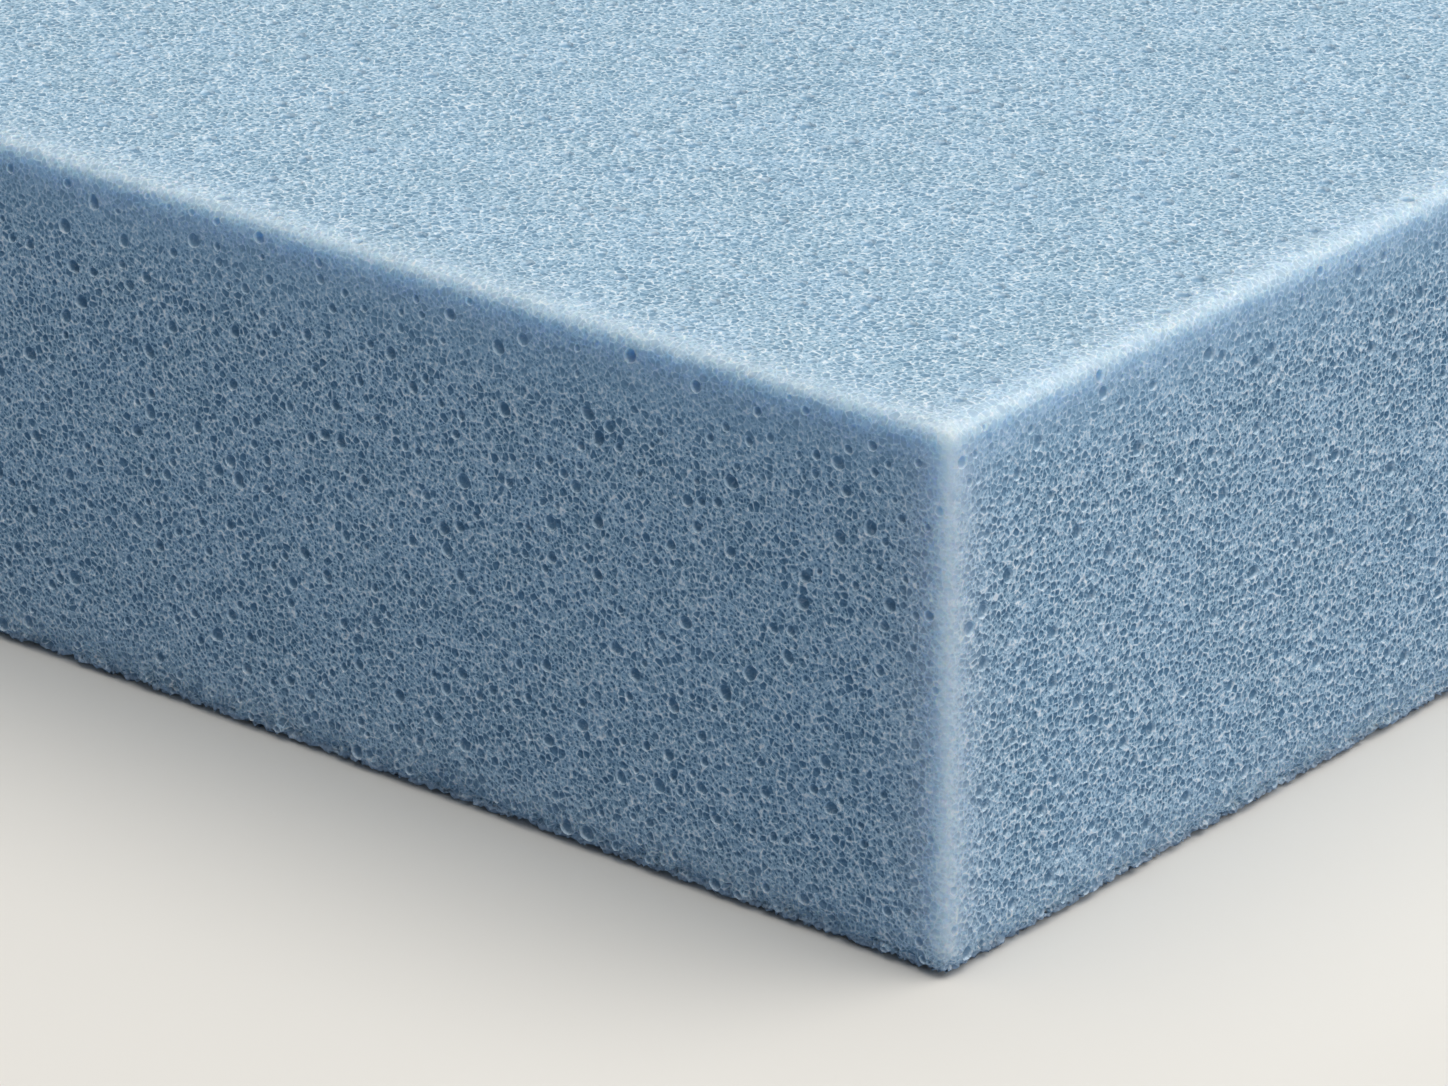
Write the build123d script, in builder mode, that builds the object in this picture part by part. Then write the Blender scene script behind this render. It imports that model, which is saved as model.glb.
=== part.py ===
"""Foam block: one rectangular piece of flexible open-cell polyurethane foam.

The block is cut with a blade from a larger slab, so it is a single solid with six flat faces. A cut
foam edge has no stiff arris: it relaxes into a small soft round. The edges that stand in the air take
the full round, and the four edges that press on the table stay a little crisper.

Frame: millimetres, +Z up, origin at the middle of the bottom face. The length runs along X, the width
along Y. The cells, about 0.6 mm across on average, are a surface texture at this scale and are left out.
"""

import os

from build123d import *

# Driving dimensions, in millimetres.
BLOCK_LENGTH = 150.0  # along X
BLOCK_WIDTH = 125.0  # along Y
BLOCK_THICKNESS = 50.0  # along Z
UPRIGHT_EDGE_RADIUS = 1.5  # the four vertical edges
TOP_EDGE_RADIUS = 1.5  # the four edges round the top face
BOTTOM_EDGE_RADIUS = 0.8  # the four edges round the face it rests on

with BuildPart() as foam_block:
    with BuildSketch(Plane.XY):
        Rectangle(BLOCK_LENGTH, BLOCK_WIDTH)
    extrude(amount=BLOCK_THICKNESS)
    fillet(foam_block.edges().filter_by(Axis.Z), radius=UPRIGHT_EDGE_RADIUS)
    fillet(foam_block.faces().sort_by(Axis.Z)[-1].edges(), radius=TOP_EDGE_RADIUS)
    fillet(foam_block.faces().sort_by(Axis.Z)[0].edges(), radius=BOTTOM_EDGE_RADIUS)

foam_block.part.label = "foam_block"

os.makedirs("parts", exist_ok=True)
export_step(foam_block.part, "parts/foam_block.step")
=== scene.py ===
"""Looks of the foam block: one closed skin of cut open-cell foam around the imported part's block."""

import math

import bpy
import numpy as np
from mathutils import Matrix, Vector
from mathutils.geometry import delaunay_2d_cdt


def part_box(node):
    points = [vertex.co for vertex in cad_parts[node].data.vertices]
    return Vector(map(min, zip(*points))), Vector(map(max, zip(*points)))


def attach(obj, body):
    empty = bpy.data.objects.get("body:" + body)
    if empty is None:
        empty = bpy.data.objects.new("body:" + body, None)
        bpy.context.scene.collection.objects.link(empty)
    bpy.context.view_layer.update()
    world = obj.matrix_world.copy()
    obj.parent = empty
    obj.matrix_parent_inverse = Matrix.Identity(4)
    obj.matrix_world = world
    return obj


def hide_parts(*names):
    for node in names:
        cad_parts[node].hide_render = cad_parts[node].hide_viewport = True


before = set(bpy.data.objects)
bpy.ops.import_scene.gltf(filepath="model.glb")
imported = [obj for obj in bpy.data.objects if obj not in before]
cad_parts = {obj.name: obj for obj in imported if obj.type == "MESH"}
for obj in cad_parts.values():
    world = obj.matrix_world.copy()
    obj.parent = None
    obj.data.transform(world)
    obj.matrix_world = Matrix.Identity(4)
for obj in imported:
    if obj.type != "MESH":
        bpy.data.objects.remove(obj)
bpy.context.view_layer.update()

MM = 0.001

# ---------------------------------------------------------------- shape of the skin, in millimetres
CORNER_RADIUS = 1.5  # rounding of the upright and top edges
BASE_RADIUS = 1.4  # rounding of the bottom edges
BAND = 1.7  # width of the strip of close points along every edge of a face
BASE_BAND = 1.5  # the same on the base
BAND_STEP = 0.50  # spacing of the points in the strips
FILL_STEP = 1.8  # spacing of the points between the pores
BASE_STEP = 5.0  # the same on the base, which has no pores
CHAIN_STEP = 0.40  # spacing of the points on the block's edges
ROW_STEP = 0.866  # between two rows of points, as a share of the spacing
BORDER_GAP = 0.45  # between a point and its face's border, at least, as a share of the spacing
JITTER = 0.34  # how far a point strays, as a share of the spacing
CHAIN_JITTER = 0.3  # the same on the block's edges
EDGE_ROUGH = (-0.02, 0.15)  # how far the skin dips at random in the strips
BASE_ROUGH = (-0.02, 0.75)  # the same along the bottom edges, which show cut cells
FACE_ROUGH = (-0.03, 0.05)  # the same between the pores

PORE_GAP = 0.28  # least foam between two pores
EDGE_GAP = 0.55  # least foam between a pore and the block's edge
RIM_GAP = 0.2  # least foam between a pore and a point outside it
# Pores deep enough to be modelled, in two classes: radii, area of foam for each pore, and for each
# ring of points how many there are, how far out they stand and how deep, as shares of the pore's
# radius and depth.
PORES = (
    ((0.57, 0.82), 46.0, ((11, 1.0, 0.0), (9, 0.84, 0.52), (5, 0.48, 0.88))),
    ((0.35, 0.57), 17.0, ((8, 1.0, 0.0), (5, 0.60, 0.72))),
)
PORE_DEPTH = (0.62, 0.98)  # share of the radius
PORE_WAVES = ((2, 0.13), (3, 0.08), (5, 0.04))  # waves around a rim, and the most that each adds
PORE_LEAN = 0.12  # how far the bottom lies to one side, at most, as a share of the radius
PORE_TWIST = 0.22  # how far a ring's point strays, as a share of the spacing
PORE_SKEW = 1.2  # above 1, small pores are commoner in a class
PORE_TRIES = 4  # places tried for each pore wanted

SEED = 7
MERGE = 1e-6  # points closer than this count as one

rng = np.random.default_rng(SEED)
low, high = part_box("foam_block")
LO = np.array(low) / MM
HI = np.array(high) / MM
SIZE = HI - LO

# Each face of the block: the corner it starts from and its two directions.
X, Y, Z = np.eye(3)
FACES = {
    "top": (np.array([LO[0], LO[1], HI[2]]), X, Y),
    "right": (np.array([HI[0], LO[1], LO[2]]), Y, Z),
    "left": (LO, Z, Y),
    "back": (np.array([LO[0], HI[1], LO[2]]), Z, X),
    "front": (LO, X, Z),
    "base": (LO, Y, X),
}
# The bake's map, in millimetres: two rows of three faces, each with its corner and whether it is
# turned. The first column is as wide as the block is long, and the others as the block is high.
MAP_GAP = 1.0
COLUMNS = MAP_GAP, SIZE[0] + 2 * MAP_GAP, SIZE[0] + SIZE[2] + 3 * MAP_GAP
ROWS = MAP_GAP, SIZE[1] + 2 * MAP_GAP
MAP_SIZE = ROWS[1] + SIZE[0] + MAP_GAP
CHARTS = {
    "top": (COLUMNS[0], ROWS[0], False),
    "left": (COLUMNS[1], ROWS[0], False),
    "right": (COLUMNS[2], ROWS[0], True),
    "base": (COLUMNS[0], ROWS[1], True),
    "front": (COLUMNS[1], ROWS[1], True),
    "back": (COLUMNS[2], ROWS[1], False),
}


def rounded(p):
    """Points on the sharp box, moved onto the rounded one, with their outward normals."""
    upright = np.full(len(p), CORNER_RADIUS)
    lower = p[:, 2] < (LO[2] + HI[2]) / 2
    reach = np.stack([upright, upright, np.where(lower, BASE_RADIUS, CORNER_RADIUS)], 1)
    inner = np.clip(p, LO + reach, HI - reach)
    e = (p - inner) / reach
    e /= np.linalg.norm(e, axis=1, keepdims=True)
    normal = e / reach
    normal /= np.linalg.norm(normal, axis=1, keepdims=True)
    return inner + e * reach, normal


def inset_of(pts, width, height):
    """How far each point lies inside a face's border."""
    return np.minimum(
        np.minimum(pts[:, 0], width - pts[:, 0]), np.minimum(pts[:, 1], height - pts[:, 1])
    )


def scatter(width, height, step):
    """A loose hexagonal scatter over a face."""
    rows = np.arange(step / 2, height, step * ROW_STEP)
    cols = np.arange(step / 2, width, step)
    gx, gy = np.meshgrid(cols, rows)
    gx = gx + (np.arange(len(rows))[:, None] % 2) * step / 2
    pts = np.stack([gx.ravel(), gy.ravel()], 1)
    pts += rng.uniform(-JITTER, JITTER, pts.shape) * step
    return pts[inset_of(pts, width, height) > step * BORDER_GAP]


def place_pores(width, height):
    """Centres, radii and class of a face's pores, largest first, none touching another."""
    cell = 2 * PORES[0][0][1] + PORE_GAP
    grid, found = {}, []
    for kind, ((least, most), area, _) in enumerate(PORES):
        wanted = int(width * height / area)
        tries = rng.random((wanted * PORE_TRIES, 3))
        for u, v, s in tries:
            if wanted == 0:
                break
            r = least + (most - least) * s**PORE_SKEW
            m = r + EDGE_GAP
            x, y = m + u * (width - 2 * m), m + v * (height - 2 * m)
            cx, cy = int(x / cell), int(y / cell)
            close = (
                found[k]
                for i in (cx - 1, cx, cx + 1)
                for j in (cy - 1, cy, cy + 1)
                for k in grid.get((i, j), ())
            )
            if all(math.hypot(x - a, y - b) > r + c + PORE_GAP for a, b, c, _ in close):
                grid.setdefault((cx, cy), []).append(len(found))
                found.append((x, y, r, kind))
                wanted -= 1
    return np.array(found)


def outside(pts, pores):
    """Which points lie clear of every pore."""
    keep = np.ones(len(pts), bool)
    order = np.argsort(pts[:, 0])
    xs = pts[order, 0]
    for cx, cy, r, _ in pores:
        a, b = np.searchsorted(xs, [cx - r - RIM_GAP, cx + r + RIM_GAP])
        near = order[a:b]
        clear = r * (1 + PORE_LEAN) + RIM_GAP
        keep[near[np.hypot(pts[near, 0] - cx, pts[near, 1] - cy) < clear]] = False
    return keep


def pore_points(pores):
    """Points of every pore, their depths, distances from the rim and pores, and the rims' loops."""
    pts, dips, insets, owners, loops = [], [], [], [], []
    count = 0
    for kind, (_, _, rings) in enumerate(PORES):
        number = np.flatnonzero(pores[:, 3] == kind)
        centre, r = pores[number, :2], pores[number, 2]
        deep = r * rng.uniform(*PORE_DEPTH, len(r))
        phase = rng.uniform(0, 2 * np.pi, (len(PORE_WAVES), len(r)))
        swing = rng.uniform(0, 1, (len(PORE_WAVES), len(r)))
        lean = rng.uniform(-PORE_LEAN, PORE_LEAN, (len(r), 2)) * r[:, None]
        for ring, (n, share, dip) in enumerate(rings + ((1, 0.0, 1.0),)):
            turn = rng.uniform(0, 2 * np.pi, len(r))
            angle = turn[:, None] + np.arange(n) * (2 * np.pi / n)
            angle = angle + rng.uniform(-PORE_TWIST, PORE_TWIST, angle.shape) * (2 * np.pi / n)
            wave = 1 + sum(
                s[:, None] * most * np.sin(k * angle + f[:, None])
                for (k, most), s, f in zip(PORE_WAVES, swing, phase)
            )
            far = r[:, None] * wave * share
            ring_pts = np.stack([np.cos(angle) * far, np.sin(angle) * far], -1)
            ring_pts += centre[:, None] + lean[:, None] * (1 - share)
            pts.append(ring_pts.reshape(-1, 2))
            dips.append(np.repeat(deep * dip, n))
            insets.append(np.repeat(r * (1 - share), n))
            owners.append(np.repeat(number, n))
            if ring == 0:
                first = count + np.arange(len(r))[:, None] * n
                step = np.arange(n)
                loops.append(
                    np.stack([first + step, first + (step + 1) % n], -1).reshape(-1, 2)
                )
            count += len(r) * n
    return (
        np.vstack(pts),
        np.concatenate(dips),
        np.concatenate(insets),
        np.concatenate(owners),
        np.vstack(loops),
    )


def face_points(name, width, height):
    """What pore_points gives, for all the points inside one face's border."""
    band = BASE_BAND if name == "base" else BAND
    strip = scatter(width, height, BAND_STEP)
    strip = strip[inset_of(strip, width, height) < band]
    fill = scatter(width, height, BASE_STEP if name == "base" else FILL_STEP)
    fill = fill[inset_of(fill, width, height) > band + RIM_GAP]
    plain = np.vstack([strip, fill])
    if name == "base":
        n = len(plain)
        return plain, np.zeros(n), np.zeros(n), np.full(n, -1), np.zeros((0, 2), int)
    pores = place_pores(width, height)
    plain = plain[outside(plain, pores)]
    n = len(plain)
    pts, dips, insets, owners, loops = pore_points(pores)
    bumps = rng.uniform(*FACE_ROUGH, n)
    return (
        np.vstack([pts, plain]),
        np.concatenate([dips, bumps]),
        np.concatenate([insets, np.zeros(n)]),
        np.concatenate([owners, np.full(n, -1)]),
        loops,
    )


def uneven(name, pts, dip, owner):
    """The dips of a face's points, made random in the strips along the block's edges."""
    origin, u, v = FACES[name]
    near = inset_of(pts, SIZE @ u, SIZE @ v)
    rough = (owner < 0) & (near < (BASE_BAND if name == "base" else BAND))
    low_down = origin[2] + pts[:, 0] * u[2] + pts[:, 1] * v[2] < LO[2] + BAND
    least, most = np.where(low_down[:, None], BASE_ROUGH, EDGE_ROUGH).T
    return np.where(rough, rng.uniform(least, most), dip)


def triangulate(flat, border, loops):
    """Triangles over a face's points, of which the first ones run around its border."""
    edges = [(k, (k + 1) % border) for k in range(border)] + (loops + border).tolist()
    found, _, faces, origs, _, _ = delaunay_2d_cdt([Vector(p) for p in flat], edges, [], 1, MERGE)
    assert len(found) == len(flat), "a rim crosses another"
    tri = np.array([o[0] for o in origs])[np.array(faces)]
    a, b, c = flat[tri[:, 0]], flat[tri[:, 1]], flat[tri[:, 2]]
    ab, ac = b - a, c - a
    outward = ab[:, 0] * ac[:, 1] > ab[:, 1] * ac[:, 0]
    return np.where(outward[:, None], tri, tri[:, ::-1])


def chart(name, at, height):
    """Points of a face, moved to its place in the bake's map."""
    left, base, turned = CHARTS[name]
    if turned:
        at = at[..., ::-1] * np.array([-1.0, 1.0]) + np.array([height, 0.0])
    return (at + np.array([left, base])) / MAP_SIZE


def foam_skin():
    """The closed skin: points, triangles, their map, which lie in a pore, and how far from a rim."""
    places, dips, insets = [], [], []
    corner_id, chains = {}, {}

    def add(p, dip=0.0):
        places.append(p)
        dips.append(dip)
        insets.append(0.0)
        return len(places) - 1

    def key(p):
        return tuple(np.round(p, 4))

    def corner(p):
        if key(p) not in corner_id:
            corner_id[key(p)] = add(p)
        return corner_id[key(p)]

    def chain(a, b):
        """Points along the block's edge from a to b, shared by the two faces that meet there."""
        if (key(b), key(a)) in chains:
            return chains[key(b), key(a)][::-1]
        n = int(round(np.linalg.norm(b - a) / CHAIN_STEP))
        steps = (np.arange(1, n) + rng.uniform(-CHAIN_JITTER, CHAIN_JITTER, n - 1)) / n
        rough = BASE_ROUGH if a[2] + b[2] < 2 * LO[2] + 1 else EDGE_ROUGH
        middle = [add(a + (b - a) * s, rng.uniform(*rough)) for s in steps]
        chains[key(a), key(b)] = [corner(a), *middle, corner(b)]
        return chains[key(a), key(b)]

    triangles, charts, in_pore = [], [], []
    for name, (origin, u, v) in FACES.items():
        width, height = SIZE @ u, SIZE @ v
        ends = [origin, origin + u * width, origin + u * width + v * height, origin + v * height]
        border = []
        for k in range(4):
            border += chain(ends[k], ends[(k + 1) % 4])[:-1]
        pts, dip, inset, owner, loops = face_points(name, width, height)
        ids = np.concatenate([border, len(places) + np.arange(len(pts))]).astype(int)
        places.extend(origin + pts[:, :1] * u + pts[:, 1:] * v)
        dips.extend(uneven(name, pts, dip, owner))
        insets.extend(inset)
        flat = np.array([places[i] for i in ids]) - origin
        flat = np.stack([flat @ u, flat @ v], 1)
        tri = triangulate(flat, len(border), loops)
        mine = np.concatenate([np.full(len(border), -1), owner])[tri]
        in_pore.append((mine[:, 0] >= 0) & (mine[:, 0] == mine[:, 1]) & (mine[:, 1] == mine[:, 2]))
        charts.append(chart(name, flat[tri], height))
        triangles.append(ids[tri])
    places = np.array(places)
    skin, normal = rounded(places)
    skin -= normal * np.array(dips)[:, None]
    skin[:, 2] = np.maximum(skin[:, 2], LO[2])  # nothing goes below the floor
    return skin, np.vstack(triangles), np.vstack(charts), np.concatenate(in_pore), np.array(insets)


def link(ob):
    bpy.context.scene.collection.objects.link(ob)
    return ob


def make_foam():
    """The skin as a Blender object, with what the bake and the material read from it."""
    points, triangles, charts, in_pore, inset = foam_skin()
    me = bpy.data.meshes.new("foam_skin")
    me.vertices.add(len(points))
    me.vertices.foreach_set("co", (points * MM).astype(np.float32).ravel())
    me.loops.add(len(triangles) * 3)
    me.loops.foreach_set("vertex_index", triangles.astype(np.int32).ravel())
    me.polygons.add(len(triangles))
    me.polygons.foreach_set("loop_start", np.arange(0, len(triangles) * 3, 3, dtype=np.int32))
    me.polygons.foreach_set("use_smooth", np.ones(len(triangles), bool))
    me.update(calc_edges=True)
    me.uv_layers.new(name="OFBake").data.foreach_set("uv", charts.astype(np.float32).ravel())
    me.attributes.new("in_pore", "FLOAT", "FACE").data.foreach_set(
        "value", in_pore.astype(np.float32)
    )
    me.attributes.new("from_rim", "FLOAT", "POINT").data.foreach_set(
        "value", inset.astype(np.float32)
    )
    # A pore's rim is a crisp edge: it is where faces in and out of the pore meet.
    pairs = np.empty(len(me.edges) * 2, np.int32)
    me.edges.foreach_get("vertices", pairs)
    n = len(points)
    pairs = np.sort(pairs.reshape(-1, 2), 1)
    code = pairs[:, 0].astype(np.int64) * n + pairs[:, 1]
    rank = np.argsort(code)
    sides = np.zeros(len(code), int)
    for k in range(3):
        ends = np.sort(triangles[:, [k, (k + 1) % 3]], 1)
        at = rank[np.searchsorted(code[rank], ends[:, 0].astype(np.int64) * n + ends[:, 1])]
        np.add.at(sides, at, in_pore.astype(int))
    sharp = sides == 1
    me.attributes.new("sharp_edge", "BOOLEAN", "EDGE").data.foreach_set("value", sharp)
    return link(bpy.data.objects.new("foam_block_skin", me))


foam = make_foam()


# ---------------------------------------------------------------- materials
def srgb(text):
    """A hex colour as linear RGBA."""
    c = [int(text[i : i + 2], 16) / 255 for i in (0, 2, 4)]
    return [x / 12.92 if x <= 0.04045 else ((x + 0.055) / 1.055) ** 2.4 for x in c] + [1.0]


class Nodes:
    """Short calls for building the node tree of a material or of the world."""

    def __init__(self, owner):
        owner.use_nodes = True
        self.tree = owner.node_tree
        self.tree.nodes.clear()

    def add(self, kind, settings=(), **inputs):
        node = self.tree.nodes.new(kind)
        for key, value in dict(settings).items():
            setattr(node, key, value)
        for key, value in inputs.items():
            self.feed(node.inputs[key.replace("_", " ")], value)
        return node

    def feed(self, socket, value):
        if isinstance(value, bpy.types.NodeSocket):
            self.tree.links.new(value, socket)
        else:
            socket.default_value = value

    def math(self, operation, *values):
        node = self.add("ShaderNodeMath", {"operation": operation})
        for socket, value in zip(node.inputs, values):
            self.feed(socket, value)
        return node.outputs[0]

    def times(self, *values):
        out = values[0]
        for value in values[1:]:
            out = self.math("MULTIPLY", out, value)
        return out

    def ease(self, value, start, stop, low=0.0, high=1.0):
        """A smooth step from low at start to high at stop."""
        node = self.add("ShaderNodeMapRange", {"interpolation_type": "SMOOTHSTEP"})
        for socket, v in zip(node.inputs, (value, start, stop, low, high)):
            self.feed(socket, v)
        return node.outputs[0]

    def mix(self, share, a, b):
        """Colour a with a share of colour b over it."""
        node = self.add("ShaderNodeMix", {"data_type": "RGBA"})
        for socket, v in ((0, share), (6, a), (7, b)):
            self.feed(node.inputs[socket], v)
        return node.outputs[2]

    def mix_shader(self, share, a, b):
        node = self.add("ShaderNodeMixShader", Fac=share)
        for socket, shader in ((1, a), (2, b)):
            self.feed(node.inputs[socket], shader.outputs[0])
        return node

    def attribute(self, name):
        return self.add("ShaderNodeAttribute", {"attribute_name": name}).outputs["Fac"]

    def voronoi(self, place, size, feature="F1"):
        """Cells of a mean size in millimetres."""
        return self.add(
            "ShaderNodeTexVoronoi", {"feature": feature}, Vector=place, Scale=1 / (size * MM)
        )

    def noise(self, place, size):
        """Soft drifts of a mean size in millimetres."""
        node = self.add("ShaderNodeTexNoise", Vector=place, Detail=1.0, Scale=1 / (size * MM))
        return node.outputs["Fac"]


# Colours of the foam, some of them painted light and shade.
BODY, BODY_2 = srgb("96b8ce"), srgb("9ec0d8")  # it drifts from one to the other
STRUT = srgb("d0e6f4")  # the struts of the web: their own pale colour together with painted highlight where they catch light
GLINT = srgb("f6fbff")  # painted highlight where struts meet
PAINTED_HOLE_SHADE = srgb("426f91")  # painted shade inside pores and open bubbles
PAINTED_GLOW = srgb("e1eefa")  # painted light, glowing along the block's edges and lifting the shade at its foot
PAINTED_THROUGH_LIGHT = srgb("90bad8")  # painted light on the sides just below the top edges, where light comes through from the top

# Sizes in millimetres.
CELL, HOLE_SIZE = 0.71, 0.35  # mean sizes of the two kinds of bubble
CLOUD = 7.0  # mean size of the drifts in the body colour
BUMP = 0.15  # how deep the bubbles look
PAINTED_GLOW_FADE = 1.9  # over which the painted glow along an edge fades
GLOW_REACH = (5.0, 0.2)  # from an edge, where light starts to come through and where it is full
GLOW_RADIUS, GLOW_SCALE = (0.65, 0.95, 1.25), 5.0  # how far that light spreads, by colour
LIFT = (0.3, 3.5)  # heights over which the painted edge glow and the subsurface glow come in
FOOT = (1.5, 0.3)  # heights over which painted light turns the foot pale, against the shade under it
TOP = (2.0, 0.4)  # depths over which the painted shade and highlight turn calmer, towards the top face, where light falls into the bubbles
BELOW_IN, BELOW_OUT = (0.5, 1.8), (11.0, 2.5)  # depths over which the painted light band below the top edges comes in and fades
RIM_DARK = (0.0, 0.14)  # from a pore's rim, where its painted shade starts and where it is full
RIM_LINE = (0.15, 0.03)  # from a pore's rim, the reach of the pale line along it, partly painted highlight

# Strengths, from 0 to 1.
TOP_CALM = 0.7  # of the painted shade and highlight on the top face, where light falls into the bubbles
PAINTED_GLOW_CALM, BELOW_CALM = 0.35, 0.45  # how much of the texture the painted edge glow and the painted band take away
PAINTED_GLOW_SHARE, UPRIGHT_SHARE = 0.55, 0.9  # of the painted glow's colour, at all edges and at upright ones
BELOW_SHARE, FOOT_SHARE = 0.5, 0.85  # of the painted band's colour, and of the painted light that makes the foot pale
PORE_TONE, RIM_SHARE = 0.62, 0.9  # of a pore's painted shade and of its pale rim, which is partly painted highlight
PORE_CALM = 0.8  # how much of the texture a pore's bowl takes away
OPEN_SHARE, PIT_SHARE = 0.8, 0.85  # of the painted shade in open bubbles, large and small
LUMP_SHARE = 0.7  # of the pale foam between small bubbles, partly painted highlight
FAINTEST_LINE = 0.45  # of the walls between large bubbles, from this to 1
HOLE_HEIGHT = 0.5  # how much the small bubbles add to the height of the large ones
CLOUD_RANGE = (0.3, 0.7)  # of the noise, from the one body colour to the other
ROUGH, STRUT_ROUGH = 0.85, 0.42  # roughness of the body and of the struts
STRUT_RANGE = (0.3, 1.0)  # of the web, from the one roughness to the other

# Where the parts of a bubble start and stop, as shares of its size. The WALL ones count from the
# wall between two bubbles, and the others from the middle of one.
BOWL, HOLE_BOWL = (0.12, 0.74), (0.10, 0.72)
HOLE_PIT, HOLE_LUMP, HOLE_GLINT = (0.46, 0.26), (0.50, 0.72), (0.56, 0.66)
WALL_LINE, WALL_OPEN, WALL_PIT, WALL_GLINT = (0.11, 0.02), (0.06, 0.30), (0.04, 0.16), (0.15, 0.03)
BROKEN = (0.3, 1.0)  # a bubble's luck, from closed to broken through


def foam_zones(t, place):
    """Masks that follow the block's edges, from the distances to its faces in millimetres: painted
    light along the edges, below the top edges and at the foot, the subsurface glow, and how calm the
    painted shade and highlight are.
    """
    axes = t.add("ShaderNodeSeparateXYZ", Vector=place).outputs
    half, middle = SIZE / 2, (LO + HI) / 2
    gap = []
    for k in range(3):
        off = t.math("MULTIPLY_ADD", axes[k], 1 / MM, float(-middle[k]))
        gap.append(t.math("SUBTRACT", float(half[k]), t.math("ABSOLUTE", off)))
    # The nearest edge lies where the two nearest faces meet: it is as far as the second of them.
    least, most = t.math("MINIMUM", gap[0], gap[1]), t.math("MAXIMUM", gap[0], gap[1])
    edge = t.math("MAXIMUM", least, t.math("MINIMUM", most, gap[2]))
    depth = t.math("MULTIPLY_ADD", axes[2], -1 / MM, float(HI[2]))
    height = t.math("MULTIPLY_ADD", axes[2], 1 / MM, float(-LO[2]))

    lift = t.ease(height, *LIFT)

    # Painted light: a pale glow along every edge, and more along the upright ones, where light comes
    # through the thin foam.
    def paint_edge_glow(distance):
        return t.times(t.math("EXPONENT", t.times(distance, -1 / PAINTED_GLOW_FADE)), lift)

    painted_edge_glow, upright = paint_edge_glow(edge), paint_edge_glow(most)
    glow = t.times(t.ease(edge, *GLOW_REACH), lift)
    # Painted light: the side faces turn soft and a deeper blue just below the top edges, where light
    # from the top comes through.
    below = t.times(t.ease(depth, *BELOW_IN), t.ease(depth, *BELOW_OUT))
    # Painted light at the foot, lifting the shade on the bottom rounding.
    foot = t.ease(height, *FOOT, 0.0, FOOT_SHARE)
    # Less painted shade and highlight in the edge glow, in the band and on the top face.
    lost = t.math("ADD", t.times(painted_edge_glow, PAINTED_GLOW_CALM), t.times(below, BELOW_CALM))
    calm = t.times(t.math("SUBTRACT", 1.0, lost), t.ease(depth, *TOP, 1.0, TOP_CALM))
    return painted_edge_glow, upright, glow, below, foot, calm


def foam_bubbles(t, place):
    """Bubbles cut open at two sizes: their height, the painted shade in their hollows, the pale web
    (partly painted highlight) and painted glints.
    """
    cell = t.voronoi(place, CELL)
    luck = t.add("ShaderNodeSeparateColor", Color=cell.outputs["Color"]).outputs
    middle = cell.outputs["Distance"]
    wall = t.math("SUBTRACT", t.voronoi(place, CELL, "F2").outputs["Distance"], middle)
    hole = t.voronoi(place, HOLE_SIZE).outputs["Distance"]
    # Each is a bowl, and the foam left between them stands up.
    height = t.math("MULTIPLY_ADD", t.ease(hole, *HOLE_BOWL), HOLE_HEIGHT, t.ease(middle, *BOWL))
    # Some bubbles broke through into the next one and get painted shade, as do the small pits; others
    # kept a pale skin.
    opened = t.times(t.ease(wall, *WALL_OPEN), t.ease(luck[0], *BROKEN))
    pit = t.times(t.ease(hole, *HOLE_PIT), t.ease(wall, *WALL_PIT))
    painted_shade = t.math("MAXIMUM", t.times(opened, OPEN_SHARE), t.times(pit, PIT_SHARE))
    # The pale web: the struts' own colour together with painted highlight where they catch light.
    line = t.times(t.ease(wall, *WALL_LINE), t.ease(luck[1], 0.0, 1.0, FAINTEST_LINE, 1.0))
    lump = t.times(t.ease(hole, *HOLE_LUMP), t.math("SUBTRACT", 1.0, opened))
    web = t.math("MAXIMUM", line, t.times(lump, LUMP_SHARE))
    # Painted highlight: bright specks where struts meet.
    glint = t.times(t.ease(hole, *HOLE_GLINT), t.ease(wall, *WALL_GLINT))
    return height, painted_shade, web, glint


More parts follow.
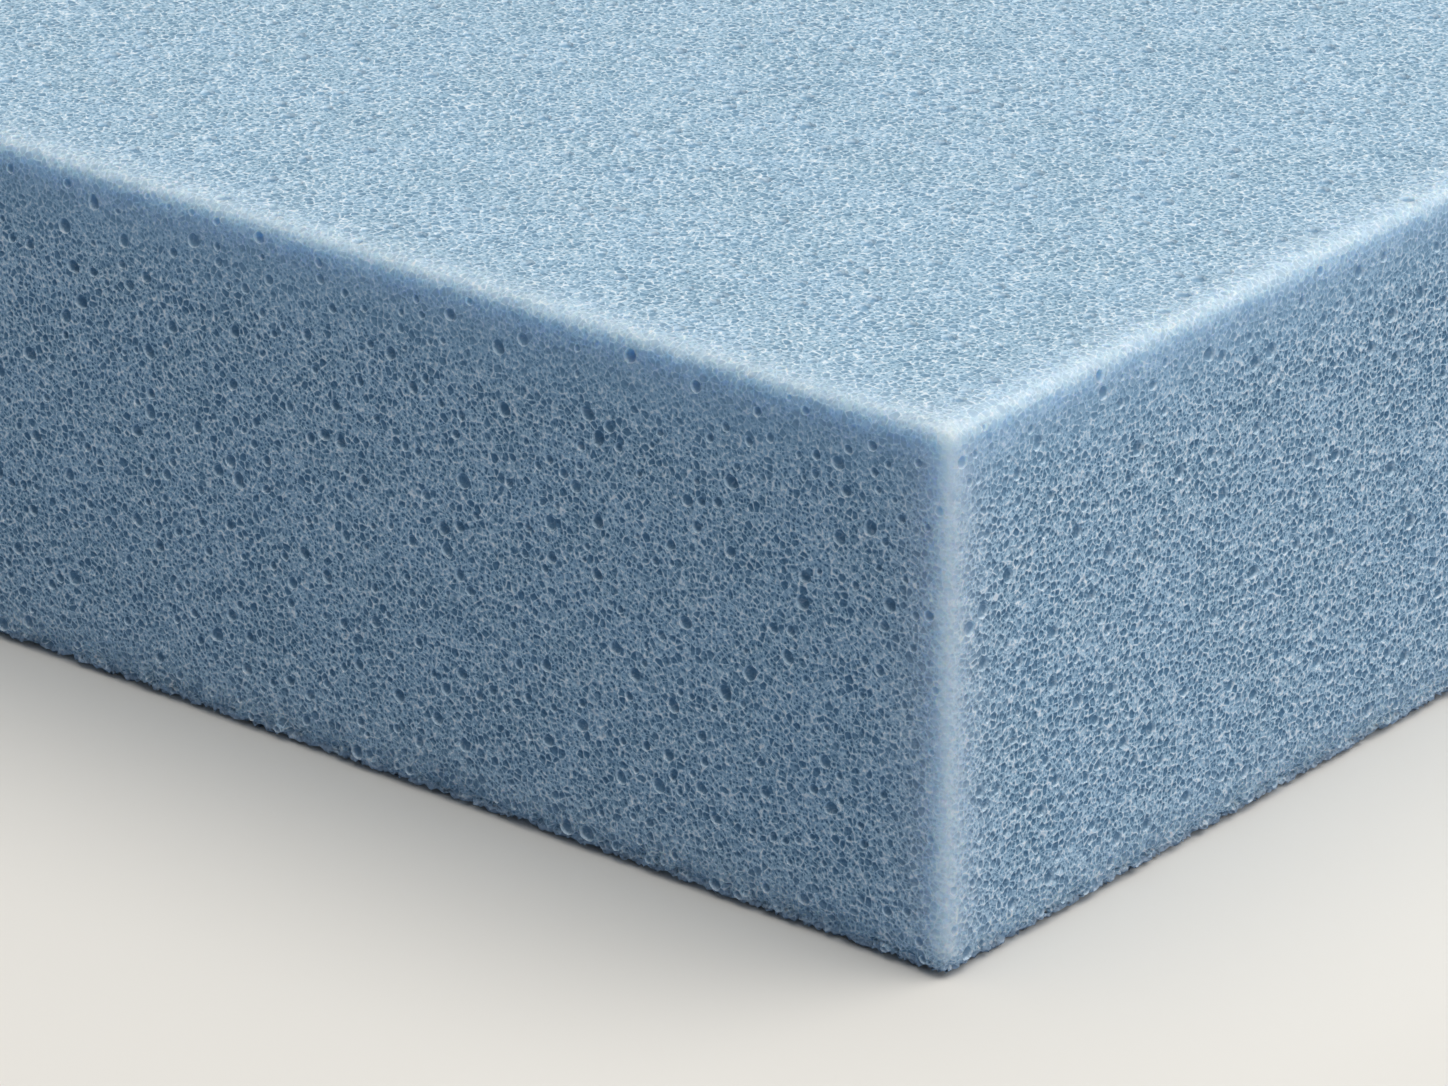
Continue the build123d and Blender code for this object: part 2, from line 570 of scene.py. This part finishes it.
def foam_material():
    material = bpy.data.materials.new("cut_foam")
    t = Nodes(material)
    place = t.add("ShaderNodeTexCoord").outputs["Object"]
    painted_edge_glow, upright, glow, below, foot, calm = foam_zones(t, place)
    height, painted_shade, web, glint = foam_bubbles(t, place)

    # The modelled pores have smoother bowls, each with painted shade inside and a pale line, partly
    # painted highlight, along its rim.
    in_pore, from_rim = t.attribute("in_pore"), t.attribute("from_rim")
    bowl = t.times(in_pore, t.ease(from_rim, *RIM_DARK))
    rim = t.times(in_pore, t.ease(from_rim, *RIM_LINE))
    faint = t.times(calm, t.math("SUBTRACT", 1.0, t.times(bowl, PORE_CALM)))
    web = t.math("MAXIMUM", t.times(web, faint), t.times(rim, RIM_SHARE))
    painted_shade = t.math("MAXIMUM", t.times(painted_shade, faint), t.times(bowl, PORE_TONE, calm))

    colour = t.mix(t.ease(t.noise(place, CLOUD), *CLOUD_RANGE), BODY, BODY_2)
    # Over the drifting body colour go the painted band below the top edges, painted shade, the web,
    # painted highlights and painted glow at the edges and foot.
    for share, over in (
        (t.times(below, BELOW_SHARE), PAINTED_THROUGH_LIGHT),
        (painted_shade, PAINTED_HOLE_SHADE),
        (web, STRUT),
        (t.times(glint, faint), GLINT),
        (t.times(painted_edge_glow, PAINTED_GLOW_SHARE), PAINTED_GLOW),
        (t.times(upright, UPRIGHT_SHARE), PAINTED_GLOW),
        (foot, PAINTED_GLOW),
    ):
        colour = t.mix(share, colour, over)

    bump = t.add("ShaderNodeBump", Strength=faint, Distance=BUMP * MM, Height=height)
    foam_shader = t.add(
        "ShaderNodeBsdfPrincipled",
        Base_Color=colour,
        Roughness=t.ease(web, *STRUT_RANGE, ROUGH, STRUT_ROUGH),
        Normal=bump.outputs[0],
        Subsurface_Weight=glow,
        Subsurface_Radius=GLOW_RADIUS,
        Subsurface_Scale=GLOW_SCALE * MM,
    )
    t.add("ShaderNodeOutputMaterial", Surface=foam_shader.outputs[0])
    return material


foam.data.materials.append(foam_material())
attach(foam, "root")
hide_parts("foam_block")

# ---------------------------------------------------------------- floor, in metres
FLOOR_REACH = 30.0
FLOOR_FADE = (0.22, 1.1)  # distances over which the sheet turns into the background
PAPER, BACKDROP = srgb("e8e4dd"), srgb("e4e1db")
BOUNCE = srgb("8a9db2")  # how the sheet looks to the light that it throws back at the block


def make_floor():
    """A pale sheet whose colour runs into the background far from the block."""
    me = bpy.data.meshes.new("floor")
    s = FLOOR_REACH
    me.from_pydata([(-s, -s, 0), (s, -s, 0), (s, s, 0), (-s, s, 0)], [], [(0, 1, 2, 3)])
    material = bpy.data.materials.new("floor_paper")
    t = Nodes(material)
    place = t.add("ShaderNodeTexCoord").outputs["Object"]
    seen = t.add("ShaderNodeLightPath").outputs["Is Camera Ray"]
    far = t.add("ShaderNodeVectorMath", {"operation": "LENGTH"}, Vector=place).outputs["Value"]
    paper = t.add("ShaderNodeBsdfDiffuse", Color=t.mix(seen, BOUNCE, PAPER))
    backdrop = t.add("ShaderNodeEmission", Color=BACKDROP, Strength=1.0)
    both = t.mix_shader(t.times(t.ease(far, *FLOOR_FADE), seen), paper, backdrop)
    t.add("ShaderNodeOutputMaterial", Surface=both.outputs[0])
    me.materials.append(material)
    return link(bpy.data.objects.new("floor", me))


make_floor()

# ---------------------------------------------------------------- light
WARM = (1.0, 0.985, 0.965)
AMBIENT, AMBIENT_LEVEL = (0.83, 0.93, 1.02, 1.0), 0.16
LIT_POINT = Vector((0.0, 0.0, 0.025))  # metres: the middle of the block, which every lamp faces


def lamp(name, direction, distance, size, level):
    """A round soft box. level is how bright it makes a white card that faces it."""
    data = bpy.data.lights.new(name, "AREA")
    data.shape, data.size, data.color = "DISK", size, WARM
    data.energy = level * (math.pi * distance) ** 2
    ob = link(bpy.data.objects.new(name, data))
    d = Vector(direction).normalized()
    ob.location = LIT_POINT + d * distance
    ob.rotation_mode = "QUATERNION"
    ob.rotation_quaternion = d.to_track_quat("Z", "Y")


def make_world():
    """Soft light from all around, and a plain background where the camera sees it."""
    world = bpy.data.worlds.new("studio")
    t = Nodes(world)
    ambient = t.add("ShaderNodeBackground", Color=AMBIENT, Strength=AMBIENT_LEVEL)
    shown = t.add("ShaderNodeBackground", Color=BACKDROP, Strength=1.0)
    seen = t.add("ShaderNodeLightPath").outputs["Is Camera Ray"]
    t.add("ShaderNodeOutputWorld", Surface=t.mix_shader(seen, ambient, shown).outputs[0])
    return world


lamp("key", (0.60, 0.50, 1.0), 1.6, 1.3, 0.34)
lamp("overhead", (0.08, 0.0, 1.0), 1.5, 2.2, 0.90)
lamp("side", (1.0, -0.20, 0.45), 1.7, 1.2, 0.207)
bpy.context.scene.world = make_world()

# ---------------------------------------------------------------- camera
CAMERA_PLACE = Vector((421.9, -505.7, 284.1)) * MM
CAMERA_TURN = (39.92, 23.43, -0.33)  # degrees: azimuth, elevation and roll
CAMERA_LENS, CAMERA_SENSOR = 187.04, 36.0


def make_camera():
    azimuth, elevation, roll = map(math.radians, CAMERA_TURN)
    data = bpy.data.cameras.new("camera")
    data.sensor_fit, data.sensor_width, data.lens = "HORIZONTAL", CAMERA_SENSOR, CAMERA_LENS
    data.clip_start, data.clip_end = 0.01, 100.0
    ob = link(bpy.data.objects.new("camera", data))
    level = math.cos(elevation)
    behind = Vector(
        (math.sin(azimuth) * level, -math.cos(azimuth) * level, math.sin(elevation))
    )
    across = Vector((math.cos(azimuth), math.sin(azimuth), 0.0))
    upward = behind.cross(across)
    across, upward = (
        across * math.cos(roll) + upward * math.sin(roll),
        upward * math.cos(roll) - across * math.sin(roll),
    )
    turn = Matrix((across, upward, behind)).transposed().to_4x4()
    ob.matrix_world = Matrix.Translation(CAMERA_PLACE) @ turn
    return ob


bpy.context.scene.camera = make_camera()
bpy.context.scene.view_settings.view_transform = "Standard"
